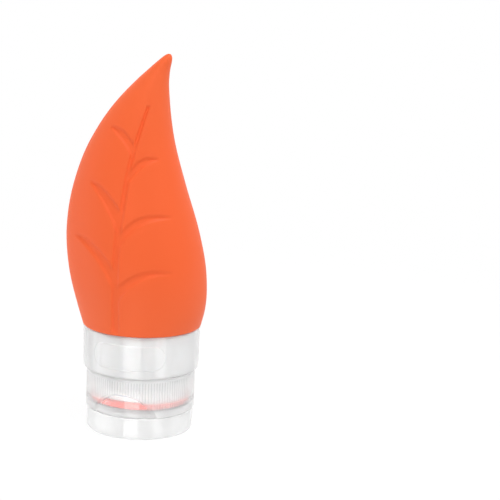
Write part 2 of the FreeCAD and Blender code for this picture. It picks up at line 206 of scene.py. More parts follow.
def add_surface(name: str, points: np.ndarray, ends: Ends) -> bpy.types.Object:
    """Make a closed, smoothly shaded mesh from rows of points that each run once round.

    A face joins each point to the next ones along its row and in the next row. The faces are turned about
    if the volume that they enclose, the sum of their triple products, comes out negative.

    Args:
        name: Name of the piece.
        points: Grid of points in millimetres, rows by columns by three.
        ends: How the first and last rows are closed.

    Returns:
        The new object, in the scene.
    """
    rows, columns = points.shape[:2]
    index = np.arange(rows * columns).reshape(rows, columns)
    lower, upper = index, np.roll(index, -1, axis=0)
    if ends is Ends.POLES:
        lower, upper = lower[:-1], upper[:-1]
    quads = np.stack([lower, np.roll(lower, -1, 1), np.roll(upper, -1, 1), upper], axis=-1).reshape(-1, 4)
    places = points.reshape(-1, 3) * MM
    faces = quads.tolist()
    if ends is Ends.POLES:
        first, last = rows * columns, rows * columns + 1
        places = np.vstack([places, points[0].mean(0) * MM, points[-1].mean(0) * MM])
        begin = np.stack([np.roll(index[0], -1), index[0], np.full(columns, first)], axis=-1)
        finish = np.stack([index[-1], np.roll(index[-1], -1), np.full(columns, last)], axis=-1)
        faces += begin.tolist() + finish.tolist()
    one, two, three, four = (places[quads[:, corner]] for corner in range(4))
    volume = np.sum(one * (np.cross(two, three) + np.cross(three, four)))
    if volume < 0:
        faces = [face[::-1] for face in faces]
    mesh = bpy.data.meshes.new(name)
    mesh.from_pydata(places.tolist(), [], faces)
    mesh.shade_smooth()
    made = bpy.data.objects.new(name, mesh)
    bpy.context.scene.collection.objects.link(made)
    return made


class NodeSketch:
    """The shader nodes of a material or world, added and joined one at a time."""

    def __init__(self, owner: bpy.types.Material | bpy.types.World) -> None:
        """Start with no nodes.

        Args:
            owner: The material or world that gets them.
        """
        owner.use_nodes = True
        self.owner = owner
        self.tree = owner.node_tree
        self.tree.nodes.clear()

    def node(self, kind: str, inputs: Inputs | None = None, **settings: object) -> bpy.types.Node:
        """Add a node.

        Args:
            kind: The node's type name.
            inputs: Values or sockets for its inputs, by name or number.
            settings: Values for its own properties.

        Returns:
            The node.
        """
        made = self.tree.nodes.new(kind)
        for name, value in settings.items():
            setattr(made, name, value)
        for name, value in (inputs or {}).items():
            if isinstance(value, Socket):
                self.tree.links.new(value, made.inputs[name])
            else:
                made.inputs[name].default_value = value
        return made

    def noise(self, scale: float, detail: float) -> Socket:
        """Add cloudy noise on Object coordinates, with that many cells in a metre and finer layers."""
        place = self.node("ShaderNodeTexCoord").outputs["Object"]
        return self.node("ShaderNodeTexNoise", {"Vector": place, "Scale": scale, "Detail": detail}).outputs[0]

    def spread(self, level: Socket, low: float, high: float) -> Socket:
        """Stretch a noise level to run from low to high."""
        ranged = {"Value": level, "From Min": 0.3, "From Max": 0.7, "To Min": low, "To Max": high}
        return self.node("ShaderNodeMapRange", ranged).outputs["Result"]

    def fade(self, value: Socket, start: float, end: float, top: float = 1.0) -> Socket:
        """Climb smoothly from 0, where the value is at the start, to the top at the end."""
        ranged = {"Value": value, "From Min": start, "From Max": end, "To Max": top}
        return self.node("ShaderNodeMapRange", ranged, interpolation_type="SMOOTHSTEP").outputs[0]

    def seen(self) -> Socket:
        """Give 1 to what camera, gloss and clear pieces see, and 0 to what only lights the scene.

        Returns:
            The level's socket.
        """
        path = self.node("ShaderNodeLightPath").outputs
        direct = self.sum("MAXIMUM", path["Is Camera Ray"], path["Is Transmission Ray"])
        return self.sum("MAXIMUM", direct, path["Is Glossy Ray"])

    def sum(self, operation: str, first: object, second: object) -> Socket:
        """Work out one sum of two numbers or sockets, such as ADD or MULTIPLY."""
        return self.node("ShaderNodeMath", {0: first, 1: second}, operation=operation).outputs[0]

    def blend(self, share: object, first: object, second: object) -> Socket:
        """Mix two colours or sockets: the first where the share is 0, the second where it is 1."""
        pair = [(*colour, 1) if isinstance(colour, tuple) else colour for colour in (first, second)]
        return self.node("ShaderNodeMix", {0: share, 6: pair[0], 7: pair[1]}, data_type="RGBA").outputs[2]

    def bump(self, level: Socket, strength: float, depth: float) -> Socket:
        """Turn a level into a shallow relief of that strength and depth in metres."""
        relief = {"Height": level, "Strength": strength, "Distance": depth}
        return self.node("ShaderNodeBump", relief).outputs[0]

    def finish(self, inputs: Inputs) -> bpy.types.Material:
        """End with one Principled shader.

        Args:
            inputs: Values or sockets for its inputs, by name.

        Returns:
            The material.
        """
        shader = self.node("ShaderNodeBsdfPrincipled", inputs)
        self.node("ShaderNodeOutputMaterial", {"Surface": shader.outputs[0]})
        return self.owner


@dataclass(frozen=True)
class LeafSilicone:
    """Satin orange silicone with a fine moulded grain, a little paler towards the foot, and painted light at
    the tip: a paler glow standing in for light through the thin silicone.
    """

    name: str = "orange_silicone_skin"
    colour: Colour = linear(247, 99, 42)
    # Painted light: the tip's colour is paler, standing in for the glow of light through the thin silicone,
    # and slightly less red, to tone down the lamp light there; clouds also mix it in as mottle
    tip_glow_and_mottle_colour: Colour = linear(245, 102, 47)
    foot_colour: Colour = linear(246, 103, 50)
    glow_start: float = 0.086
    glow_end: float = 0.118
    foot_start: float = 0.060
    foot_end: float = 0.036
    cloud_scale: float = 55.0
    grain_scale: float = 2600.0
    roughness: tuple[float, float] = (0.50, 0.60)
    sheen: float = 0.02

    def build(self) -> bpy.types.Material:
        """Make the material: height picks the colour, with painted light at the tip, clouds vary it, fine
        grain gives the relief.

        Returns:
            The material.
        """
        sketch = NodeSketch(bpy.data.materials.new(self.name))
        place = sketch.node("ShaderNodeTexCoord").outputs["Object"]
        height = sketch.node("ShaderNodeSeparateXYZ", {"Vector": place}).outputs["Z"]
        # Painted light: towards the tip the colour fades into the painted glow
        tip = sketch.fade(height, self.glow_start, self.glow_end)
        foot = sketch.fade(height, self.foot_start, self.foot_end)
        cloud = sketch.noise(self.cloud_scale, 3.0)
        grain = sketch.noise(self.grain_scale, 2.0)
        lower = sketch.blend(foot, self.colour, self.foot_colour)
        whole = sketch.blend(tip, lower, self.tip_glow_and_mottle_colour)
        clouded = sketch.blend(sketch.spread(cloud, 0.0, 0.12), whole, self.tip_glow_and_mottle_colour)
        return sketch.finish({
            "Base Color": clouded,
            "Roughness": sketch.spread(cloud, *self.roughness),
            "Normal": sketch.bump(grain, 0.12, 0.00005),
            "Specular IOR Level": 0.35,
            "Subsurface Weight": 0.06,
            "Subsurface Radius": (1.0, 0.35, 0.15),
            "Subsurface Scale": 0.002,
            "Sheen Weight": self.sheen,
            "Sheen Roughness": 0.4,
            "Sheen Tint": (1.0, 0.75, 0.7, 1.0),
        })


@dataclass(frozen=True)
class ClearPlastic:
    """Clear moulded plastic with a white haze, faint flow waves and a glossy skin.

    Where a piece has the polish attribute, its polished places are clearer than the rest.
    """

    name: str
    tint: Colour
    clearness: float
    polished: float | None = None
    glow: float = 0.5
    index: float = 1.01
    roughness: tuple[float, float] = (0.05, 0.09)
    wave_scale: float = 90.0

    def build(self) -> bpy.types.Material:
        """Make the material: clouds vary the gloss and the tint, long waves give the moulded relief.

        Returns:
            The material.
        """
        sketch = NodeSketch(bpy.data.materials.new(self.name))
        cloud = sketch.noise(self.wave_scale, 2.0)
        pale = tuple(0.98 * level for level in self.tint)
        clear = self.clearness
        if self.polished is not None:
            share = sketch.node("ShaderNodeAttribute", attribute_name=POLISH).outputs["Fac"]
            ranged = {"Value": share, "To Min": self.clearness, "To Max": self.polished}
            clear = sketch.node("ShaderNodeMapRange", ranged).outputs["Result"]
        return sketch.finish({
            "Base Color": sketch.blend(sketch.spread(cloud, 0.0, 1.0), self.tint, pale),
            "Roughness": sketch.spread(cloud, *self.roughness),
            "Normal": sketch.bump(cloud, 0.01, 0.0004),
            "Transmission Weight": clear,
            "Subsurface Weight": self.glow,
            "Subsurface Radius": (1.0, 1.0, 1.0),
            "Subsurface Scale": 0.003,
            "IOR": self.index,
            "Coat Weight": 1.0,
            "Coat Roughness": 0.012,
        })


@dataclass(frozen=True)
class SolidMoulding:
    """Opaque moulded plastic or rubber, with cloudy colour and gloss and a fine grain."""

    name: str
    colour: Colour
    pale_colour: Colour
    roughness: tuple[float, float]
    cloud_scale: float = 120.0
    grain_scale: float = 1800.0
    grain: float = 0.08
    glow: float = 0.0

    def build(self) -> bpy.types.Material:
        """Make the material: clouds mix the two colours and vary the gloss, grain gives the relief.

        Returns:
            The material.
        """
        sketch = NodeSketch(bpy.data.materials.new(self.name))
        cloud = sketch.noise(self.cloud_scale, 3.0)
        grain = sketch.noise(self.grain_scale, 2.0)
        return sketch.finish({
            "Base Color": sketch.blend(sketch.spread(cloud, 0.0, 1.0), self.colour, self.pale_colour),
            "Roughness": sketch.spread(cloud, *self.roughness),
            "Normal": sketch.bump(grain, self.grain, 0.00005),
            "Subsurface Weight": self.glow,
            "Subsurface Scale": 0.002,
        })


@dataclass(frozen=True)
class Finishes:
    """All finishes of the bottle as ready materials."""

    body: bpy.types.Material
    cap: bpy.types.Material
    lid: bpy.types.Material
    sleeve: bpy.types.Material
    milky: bpy.types.Material
    seal: bpy.types.Material
    pale: bpy.types.Material

    @classmethod
    def make(cls) -> "Finishes":
        """Build every material once.

        Returns:
            The finishes.
        """
        milky = SolidMoulding("milky_plastic_skin", grey(0.86), grey(0.84), (0.30, 0.42), glow=0.1)
        seal = SolidMoulding("red_seal_skin", (0.82, 0.10, 0.07), (0.86, 0.15, 0.11), (0.45, 0.6), grain=0.12)
        pale = SolidMoulding("pale_silicone_skin", grey(0.82), grey(0.78), (0.45, 0.6), glow=0.2)
        return cls(
            body=LeafSilicone().build(),
            cap=ClearPlastic("clear_cap_plastic", grey(0.94), 0.42, polished=0.85, glow=0.35).build(),
            lid=ClearPlastic("hazy_lid_plastic", grey(0.97), 0.62).build(),
            sleeve=ClearPlastic("clear_sleeve_plastic", grey(0.91), 0.5).build(),
            milky=milky.build(),
            seal=seal.build(),
            pale=pale.build(),
        )


def dress(piece: bpy.types.Object, material: bpy.types.Material, body: str, node: str) -> None:
    """Give a piece its material, let it ride on a body and let it stand for a node.

    Args:
        piece: The new piece.
        material: Its finish.
        body: The moving body that carries it.
        node: The node that it replaces.
    """
    piece.data.materials.append(material)
    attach(piece, body)
    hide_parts(node)
    log.info("%s rides on %s, %d faces", piece.name, body, len(piece.data.polygons))


@dataclass(frozen=True)
class Branch:
    """A side vein: a crescent from the midrib to its tip, with both edges bowed upwards."""

    tip_across: float
    tip_height: float
    upper_root: float
    upper_power: float
    upper_bow: float
    lower_root: float
    lower_power: float


@dataclass
class LeafBody:
    """The silicone body: a hollow leaf with veins on both faces, a shoulder and a stepped neck.

    Its ovals are rows of height, sideways shift, half width and half depth.
    """

    finishes: Finishes
    foot: float = 34.95
    height: float = 88.85
    foot_radius: float = 19.3
    foot_round: float = 0.45
    foot_inset: float = 1.2
    tip_shift: float = 6.75
    wall: float = 2.2
    solid_tip: float = 8.0
    dome_start: float = 0.8
    neck_radius: float = 13.4
    neck_bore: float = 11.4
    neck_end: float = 14.05
    groove_radius: float = 12.9
    groove_low: float = 16.65
    groove_high: float = 18.15
    step: float = 22.4
    step_wall: float = 2.0
    barrel_radius: float = 15.65
    barrel_bore: float = 13.65
    columns: int = 300
    leaf_rows: int = 245
    hollow_rows: int = 14
    edge_rows: int = 7
    vein_depth: float = 0.6
    vein_edge: float = 0.7
    turn_in: float = 0.6
    vein_end: float = 1.2
    slope_step: float = 0.05
    tip_past: float = 0.02
    tip_fade: float = 0.05
    crowding: float = 0.14
    # Share of the leaf's height, sideways shift, half width and half depth
    stations: np.ndarray = field(default_factory=lambda: np.array([
        (0.00, 0.00, 19.30, 19.30),
        (0.06, -0.36, 21.02, 18.90),
        (0.20, -2.04, 22.91, 18.55),
        (0.36, -4.09, 22.01, 16.95),
        (0.52, -5.32, 18.54, 14.42),
        (0.68, -4.68, 13.75, 11.10),
        (0.84, -0.87, 7.87, 7.00),
        (0.91, 1.98, 4.83, 4.55),
        (0.95, 4.08, 3.15, 3.05),
        (0.985, 6.07, 1.67, 1.64),
    ]))
    # Height and sideways place of the midrib
    midrib: np.ndarray = field(default_factory=lambda: np.array([
        (34.95, -2.10),
        (43.45, -2.50),
        (53.45, -2.85),
        (61.45, -3.00),
        (69.45, -2.70),
        (76.45, -2.10),
        (84.45, -1.50),
        (91.45, -0.73),
        (98.45, 0.70),
        (107.45, 2.70),
    ]))
    midrib_half: tuple[float, float] = (1.2, 0.38)
    branches: tuple[Branch, ...] = (
        Branch(-9.0, 100.35, 94.85, 2.3, 0.4, 90.95, 1.0),
        Branch(7.0, 90.95, 85.85, 3.2, 0.7, 80.25, 1.4),
        Branch(-14.1, 82.65, 73.85, 1.9, 0.2, 65.55, 1.0),
        Branch(12.5, 72.85, 66.25, 3.3, 1.1, 58.95, 2.2),
        Branch(-19.0, 65.05, 55.05, 1.9, 0.9, 46.45, 1.3),
        Branch(14.2, 55.65, 49.45, 2.9, 0.8, 42.25, 2.1),
    )

    def ovals(self, shares: np.ndarray) -> np.ndarray:
        """Read the leaf's ovals at some shares of its height.

        A half axis is a smooth curve times the square root of what is left of the height, so that the tip is
        round.

        Args:
            shares: Shares of the leaf's height, from 0 at the foot to 1 at the tip.

        Returns:
            The ovals.
        """
        knots = self.stations[:, 0]
        left = np.sqrt(1 - knots)
        end = np.append(knots, 1.0)
        shift = smooth_curve(end, np.append(self.stations[:, 1], self.tip_shift), shares)
        halves = []
        for column in (2, 3):
            fullness = self.stations[:, column] / left
            curve = smooth_curve(end, np.append(fullness, fullness[-1]), shares)
            halves.append(curve * np.sqrt(np.clip(1 - shares, 0, 1)))
        return np.stack([self.foot + self.height * shares, shift, *halves], axis=-1)

    def skin_rows(self) -> np.ndarray:
        """List the outer ovals from the tip down to the rounded edge at the foot.

        Rows crowd towards the tip as the square of their number, and the foot's edge is a quarter arc.

        Returns:
            The ovals.
        """
        steps = np.linspace(0.004, 1, self.leaf_rows)
        lowest = self.foot_round / self.height
        shares = 1 - (1 - lowest) * (0.75 * steps + 0.25 * steps**2) * steps**0.35
        leaf = self.ovals(shares)
        swing = np.linspace(0, math.pi / 2, self.edge_rows + 1)[1:]
        edge = np.repeat(leaf[-1:], len(swing), axis=0)
        edge[:, 0] = self.foot + self.foot_round * (1 - np.sin(swing))
        edge[:, 2:] -= (self.foot_round * (1 - np.cos(swing)))[:, None]
        return np.vstack([leaf, edge])

    def neck_rows(self) -> np.ndarray:
        """List the round rows of shoulder, neck and bore, from the foot's edge down and up again inside.

        Returns:
            The ovals.
        """
        corners = [
            (self.foot_radius - self.foot_inset, self.foot, 0.0, 4),
            (self.barrel_radius, self.foot, 0.3, 4),
            (self.barrel_radius, self.step, 0.3, 2),
            (self.neck_radius, self.step, 0.3, 2),
            (self.neck_radius, self.groove_high, 0.1, 1),
            (self.groove_radius, self.groove_high, 0.1, 1),
            (self.groove_radius, self.groove_low, 0.1, 1),
            (self.neck_radius, self.groove_low, 0.1, 1),
            (self.neck_radius, self.neck_end, 0.3, 2),
            (self.neck_bore, self.neck_end, 0.3, 4),
            (self.neck_bore, self.step + self.step_wall, 0.3, 2),
            (self.barrel_bore, self.step + self.step_wall, 0.3, 4),
            (self.barrel_bore, self.foot + self.wall, 0.0, 1),
        ]
        outline = rounded_outline(corners, closed=False, arc_steps=2)
        zero = np.zeros(len(outline))
        return np.stack([outline[:, 1], zero, outline[:, 0], outline[:, 0]], axis=-1)

    def hollow_ovals(self) -> np.ndarray:
        """List the inner ovals from the hollow's floor to its domed top: the outer ones less the wall.

        Returns:
            The ovals.
        """
        top = 1 - self.solid_tip / self.height
        steps = np.linspace(0, 1, self.hollow_rows)
        shares = self.wall / self.height + (top - self.wall / self.height) * steps
        rows = self.ovals(shares)
        dome = ((steps - self.dome_start) / (1 - self.dome_start)).clip(0, 1)
        closing = np.sqrt(np.clip(1 - dome**2, 0.0004, 1))
        rows[:, 2:] = (rows[:, 2:] - self.wall).clip(0.3) * closing[:, None]
        return rows

    def rib_middle(self, height: np.ndarray) -> np.ndarray:
        """Give the midrib's sideways place at some heights."""
        knots = self.midrib[:, 0]
        return smooth_curve(knots, self.midrib[:, 1], height.clip(knots[0], knots[-1]))

    def way_left(self, branch: Branch, root: float, across: np.ndarray) -> np.ndarray:
        """Give what is left of the way from the midrib, at the root's height, to a side vein's tip."""
        start = self.rib_middle(np.array([root]))[0]
        return 1 - ((across - start) / (branch.tip_across - start)).clip(0, 1)

    def upper_edge(self, branch: Branch, across: np.ndarray) -> np.ndarray:
        """Give a side vein's upper edge at some sideways places.

        It climbs from the midrib by one less a power of what is left of the way, and a parabola bows it.

        Args:
            branch: The side vein.
            across: Sideways places.

        Returns:
            Heights of the edge.
        """
        left = self.way_left(branch, branch.upper_root, across)
        climb = 1 - left**branch.upper_power
        bow = 4 * branch.upper_bow * left * (1 - left)
        return branch.upper_root + (branch.tip_height - branch.upper_root) * climb + bow

    def lower_edge(self, branch: Branch, across: np.ndarray) -> np.ndarray:
        """Give a side vein's lower edge.

        It climbs likewise, to a further power that turns it into the midrib.

        Args:
            branch: The side vein.
            across: Sideways places.

        Returns:
            Heights of the edge.
        """
        left = self.way_left(branch, branch.lower_root, across)
        climb = (1 - left**branch.lower_power) ** self.turn_in
        return branch.lower_root + (branch.tip_height - branch.lower_root) * climb

    def vein_share(self, across: np.ndarray, height: np.ndarray) -> np.ndarray:
        """Say how far each place lies in a vein, from 0 outside to 1 inside.

        The midrib is a band about a smooth curve that narrows upwards. A side vein lies between its two
        edges. The distance to an edge is the height difference, less as the edge is steeper.

        Args:
            across: Sideways places.
            height: Heights.

        Returns:
            The share at each place.
        """
        low, high = self.midrib[0, 0], self.midrib[-1, 0]
        climb = ((height - low) / (high - low)).clip(0, 1)
        half = self.midrib_half[0] + (self.midrib_half[1] - self.midrib_half[0]) * climb
        gap = np.minimum(half - np.abs(across - self.rib_middle(height)), high - height)
        inside = soft_step(gap / self.vein_edge + 0.5)
        step = self.slope_step
        for branch in self.branches:
            gaps = []
            for edge, side in ((self.upper_edge, 1), (self.lower_edge, -1)):
                slope = (edge(branch, across + step) - edge(branch, across - step)) / (2 * step)
                gaps.append(side * (edge(branch, across) - height) / np.hypot(1, slope))
            root = self.rib_middle(np.array([branch.upper_root]))[0]
            share = (across - root) / (branch.tip_across - root)
            crescent = soft_step(np.minimum(*gaps) / self.vein_edge + 0.5)
            crescent *= soft_step((1 + self.tip_past - share) / self.tip_fade) * (share > -self.tip_past)
            inside = np.maximum(inside, crescent)
        return inside

    def build(self) -> None:
        """Make the body from its ovals and press the veins into the skin along the surface normals.

        The columns crowd towards front and back, where the veins are, by a sine of twice the turn.
        """
        skin = self.skin_rows()
        rows = np.vstack([skin, self.neck_rows(), self.hollow_ovals()])
        turn = np.arange(self.columns) * FULL_TURN / self.columns
        angle = turn - self.crowding * np.sin(2 * turn)
        across = rows[:, 1:2] + rows[:, 2:3] * np.sin(angle)
        back = -rows[:, 3:4] * np.cos(angle)
        points = np.stack([across, back, np.broadcast_to(rows[:, :1], across.shape)], axis=-1)
        count = len(skin)
        down = np.gradient(points[:count], axis=0)
        wrapped = np.concatenate([points[:count, -1:], points[:count], points[:count, :1]], axis=1)
        along = np.gradient(wrapped, axis=1)[:, 1:-1]
        normal = np.cross(along, -down)
        normal /= np.linalg.norm(normal, axis=-1, keepdims=True).clip(1e-9)
        share = self.vein_share(points[:count, :, 0], points[:count, :, 2])
        share *= soft_step((points[:count, :, 2] - self.foot - self.foot_round) / self.vein_end)
        points[:count] -= normal * (self.vein_depth * share)[..., None]
        piece = add_surface("leaf_body_skin", points, Ends.POLES)
        dress(piece, self.finishes.body, "bottle", "bottle_body")


@dataclass(frozen=True)
class Thread:
    """A two-start screw thread: ridges that climb by the lead in each turn."""

    start: float
    rise: float
    depth: float = 0.9
    lead: float = 6.0
    starts: int = 2
    base: float = 1.4
    crest: float = 0.8
    fade: float = 0.6

    def ridge(self, height: np.ndarray, angle: np.ndarray) -> np.ndarray:
        """Give the ridge's share of its depth: a flat crest with straight flanks, wrapped at each pitch.

        Args:
            height: Heights on the wall.
            angle: Angles round it.

        Returns:
            Share of the depth, from 0 to 1.
        """
        pitch = self.lead / self.starts
        offset = height - self.start - self.lead * angle / FULL_TURN
        off_centre = np.abs((offset + pitch / 2) % pitch - pitch / 2)
        flank = (self.base / 2 - off_centre) / ((self.base - self.crest) / 2)
        low, high = self.start - self.fade / 2, self.start + self.rise + self.fade / 2
        ends = soft_step((height - low) / self.fade) * soft_step((high - height) / self.fade)
        return soft_step(flank) * ends


@dataclass
class NeckFittings:
    """The hard parts on the soft neck: threaded neck ring and inner liner."""

    finishes: Finishes
    tube_radius: float = 15.2
    tube_inner: float = 13.4
    tube_end: float = 14.05
    barrel_radius: float = 17.15
    barrel_inner: float = 15.65
    barrel_low: float = 20.8
    barrel_top: float = 33.35
    web_top: float = 22.4
    grip_radius: float = 12.9
    grip_low: float = 16.65
    grip_high: float = 18.15
    liner_radius: float = 11.4
    liner_bore: float = 10.2
    liner_low: float = 12.05
    liner_top: float = 23.05
    flange_radius: float = 14.9
    thread: Thread = Thread(start=15.2, rise=4.45)
    columns: int = 360
    liner_columns: int = 256

    def ring(self) -> None:
        """Turn the neck ring's outline and raise the thread on its tube."""
        corners = [
            (self.tube_inner, self.tube_end, 0.15, 1),
            (self.tube_radius, self.tube_end, 0.3, 28),
            (self.tube_radius, self.barrel_low, 0.3, 2),
            (self.barrel_radius, self.barrel_low, 0.4, 14),
            (self.barrel_radius, self.barrel_top, 0.4, 2),
            (self.barrel_inner, self.barrel_top, 0.3, 8),
            (self.barrel_inner, self.web_top, 0.3, 2),
            (self.tube_inner, self.web_top, 0.3, 4),
            (self.tube_inner, self.grip_high, 0.1, 1),
            (self.grip_radius, self.grip_high, 0.1, 1),
            (self.grip_radius, self.grip_low, 0.1, 1),
            (self.tube_inner, self.grip_low, 0.1, 3),
        ]
        grid = TurnedGrid.from_corners(corners, self.columns)
        on_tube = np.isclose(grid.radius, self.tube_radius)
        grid.radius += on_tube * self.thread.depth * self.thread.ridge(grid.height, grid.angle)
        piece = add_surface("neck_ring_thread", grid.points(), Ends.LOOP)
        dress(piece, self.finishes.milky, "bottle", "neck_ring")

    def liner(self) -> None:
        """Turn the liner's outline: a tube with a flange at its open end."""
        corners = [
            (self.liner_bore, self.liner_low, 0.3, 2),
            (self.flange_radius, self.liner_low, 0.3, 1),
            (self.flange_radius, self.tube_end, 0.3, 2),
            (self.liner_radius, self.tube_end, 0.1, 8),
            (self.liner_radius, self.liner_top, 0.3, 1),
            (self.liner_bore, self.liner_top, 0.3, 8),
        ]
        grid = TurnedGrid.from_corners(corners, self.liner_columns)
        piece = add_surface("neck_liner", grid.points(), Ends.LOOP)
        dress(piece, self.finishes.milky, "bottle", "neck_insert")

    def build(self) -> None:
        """Make both parts."""
        self.ring()
        self.liner()


@dataclass
class ContentsSleeve:
    """The clear turning sleeve with its raised oval window."""

    finishes: Finishes
    low: float = 20.8
    top: float = 34.9
    low_radius: float = 18.95
    top_radius: float = 19.2
    inner_radius: float = 17.4
    lip_radius: float = 15.9
    lip_low: float = 33.6
    low_round: float = 0.8
    top_round: float = 0.5
    wall_reach: float = 0.4
    window_half: float = 12.7
    window_tall: float = 4.2
    window_rise: float = 0.22
    window_dome: float = 0.05
    window_edge: float = 0.35
    window_middle: float = 27.9
    window_turn: float = 6.0
    columns: int = 640

    def window(self, grid: TurnedGrid) -> np.ndarray:
        """Give the window's relief on the sleeve's wall.

        The window is a stadium on the unrolled wall. Its depth inside is the half height less the distance
        from the stadium's middle line. The relief steps up over the edge, and swells a little towards the
        middle.

        Args:
            grid: The sleeve's grid.

        Returns:
            How far each point moves outwards.
        """
        turned = (grid.angle - math.radians(self.window_turn) + math.pi) % FULL_TURN - math.pi
        along = np.abs(turned) * self.low_radius
        up = grid.height - self.window_middle
        beyond = (along - (self.window_half - self.window_tall)).clip(0)
        inside = self.window_tall - np.hypot(beyond, up)
        step = soft_step(inside / self.window_edge)
        dome = soft_step(inside / self.window_tall)
        return self.window_rise * step + self.window_dome * dome

    def build(self) -> None:
        """Turn the sleeve's outline and raise the window on its outer wall."""
        corners = [
            (self.inner_radius, self.low, 0.3, 2),
            (self.low_radius, self.low, self.low_round, 84),
            (self.top_radius, self.top, self.top_round, 4),
            (self.lip_radius, self.top, 0.25, 2),
            (self.lip_radius, self.lip_low, 0.25, 2),
            (self.inner_radius, self.lip_low, 0.25, 10),
        ]
        grid = TurnedGrid.from_corners(corners, self.columns, arc_steps=7)
        outer = grid.radius > self.low_radius - self.wall_reach
        grid.radius += outer * self.window(grid)
        piece = add_surface("contents_sleeve", grid.points(), Ends.LOOP)
        dress(piece, self.finishes.sleeve, "sleeve", "window_sleeve")


@dataclass
class ScrewCap:
    """The clear screw cap: knurled skirt with a thumb scoop, plate, spout, valve seat and inner thread."""

    finishes: Finishes
    parting: float = 7.45
    skirt_radius: float = 17.87
    skirt_top: float = 20.55
    skirt_round: float = 0.7
    inner_radius: float = 16.45
    recess_radius: float = 16.0
    plate_low: float = 8.35
    plate_top: float = 9.95
    spout_radius: float = 3.4
    spout_tip: float = 4.4
    orifice: float = 1.6
    seat_outer: float = 7.15
    seat_inner: float = 6.05
    seat_top: float = 12.75
    ribs: int = 120
    rib_depth: float = 0.07
    rib_low: float = 9.65
    rib_high: float = 19.65
    rib_fade: float = 0.5
    scoop_depth: float = 0.7
    scoop_radius: float = 11.5
    scoop_top: float = 15.05
    scoop_edge: float = 1.1
    groove_polish: float = 0.35
    hoop_polish: float = 0.75
    hoop_top: float = 12.8
    hoop_fade: float = 0.8
    polish_fade: float = 0.5
    retainer_bore: float = 4.0
    retainer_radius: float = 6.0
    retainer_low: float = 10.95
    retainer_top: float = 12.55
    gasket_bore: float = 12.15
    gasket_radius: float = 16.15
    gasket_top: float = 12.05
    thread: Thread = Thread(start=16.7, rise=2.95)
    columns: int = 720
    retainer_columns: int = 160
    gasket_columns: int = 256

    def ribbed(self, grid: TurnedGrid) -> np.ndarray:
        """Give the grooves between the ribs: a wave round the skirt, faded out at both ends of the ribs.

        Args:
            grid: The cap's grid.

        Returns:
            How far each point moves inwards.
        """
        wave = (0.5 - 0.5 * np.cos(self.ribs * grid.angle)) ** 2
        low = soft_step((grid.height - self.rib_low) / self.rib_fade)
        high = soft_step((self.rib_high - grid.height) / self.rib_fade)
        return self.rib_depth * wave * (low * high)

    def scooped(self, grid: TurnedGrid) -> np.ndarray:
        """Say how far each point of the wall lies in the thumb scoop, from 0 outside to 1 inside.

        The scoop is a round arch across the front. Its depth inside is the arch's radius less the distance
        from the arch's centre, seen from the front.

        Args:
            grid: The cap's grid.

        Returns:
            The share at each point.
        """
        up = (grid.height - self.scoop_top + self.scoop_radius).clip(0)
        inside = self.scoop_radius - np.hypot(self.skirt_radius * np.sin(grid.angle), up)
        return soft_step(inside / self.scoop_edge + 0.5) * (np.cos(grid.angle) > 0)

    def base(self) -> None:
        """Turn the cap's outline, then press in the ribs and the scoop and raise the inner thread.

        Above the plate the scoop is polished clear, the hoop that lies over the sealing ring less so, and the
        grooves between the ribs a little.
        """
        corners = [
            (self.orifice, self.spout_tip, 0.2, 1),
            (self.spout_radius, self.spout_tip, 0.6, 3),
            (self.spout_radius, self.plate_low, 0.4, 6),
            (self.recess_radius, self.plate_low, 0.4, 1),
            (self.recess_radius, self.parting, 0.15, 2),
            (self.skirt_radius, self.parting, 0.35, 40),
            (self.skirt_radius, self.skirt_top, self.skirt_round, 1),
            (self.inner_radius, self.skirt_top, 0.4, 26),
            (self.inner_radius, self.plate_top, 0.4, 4),
            (self.seat_outer, self.plate_top, 0.3, 2),
            (self.seat_outer, self.seat_top, 0.25, 1),
            (self.seat_inner, self.seat_top, 0.2, 2),
            (self.seat_inner, self.plate_top, 0.2, 2),
            (self.orifice, self.plate_top, 0.2, 4),
        ]
        grid = TurnedGrid.from_corners(corners, self.columns, arc_steps=3)
        outside = grid.radius > self.skirt_radius - self.skirt_round
        wall = np.isclose(grid.radius, self.skirt_radius)
        inner = np.isclose(grid.radius, self.inner_radius)
        grid.radius -= inner * self.thread.depth * self.thread.ridge(grid.height, grid.angle)
        scoop = self.scooped(grid)
        grid.radius -= wall * self.ribbed(grid) * (1 - scoop) + outside * self.scoop_depth * scoop
        piece = add_surface("knurled_screw_cap", grid.points(), Ends.LOOP)
        grooves = self.ribbed(grid) / self.rib_depth * self.groove_polish
        hoop = self.hoop_polish * soft_step((self.hoop_top - grid.height) / self.hoop_fade)
        polish = np.maximum(np.maximum(scoop, grooves), hoop)
        polish *= soft_step((grid.height - self.plate_top) / self.polish_fade)
        shares = piece.data.attributes.new(POLISH, "FLOAT", "POINT")
        shares.data.foreach_set("value", polish.ravel().astype(np.float32))
        dress(piece, self.finishes.cap, "cap", "cap_base")

    def retainer(self) -> None:
        """Turn the ring that holds the valve."""
        corners = [
            (self.retainer_bore, self.retainer_low, 0.2, 2),
            (self.retainer_radius, self.retainer_low, 0.2, 2),
            (self.retainer_radius, self.retainer_top, 0.3, 2),
            (self.retainer_bore, self.retainer_top, 0.3, 2),
        ]
        grid = TurnedGrid.from_corners(corners, self.retainer_columns)
        piece = add_surface("valve_ring", grid.points(), Ends.LOOP)
        dress(piece, self.finishes.milky, "cap", "valve_retainer")

    def valve(self) -> None:
        """Give the slit valve its silicone; its own shape is right."""
        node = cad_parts["drip_valve"]
        node.data.materials.clear()
        node.data.materials.append(self.finishes.pale)
        log.info("drip_valve keeps its own shape")

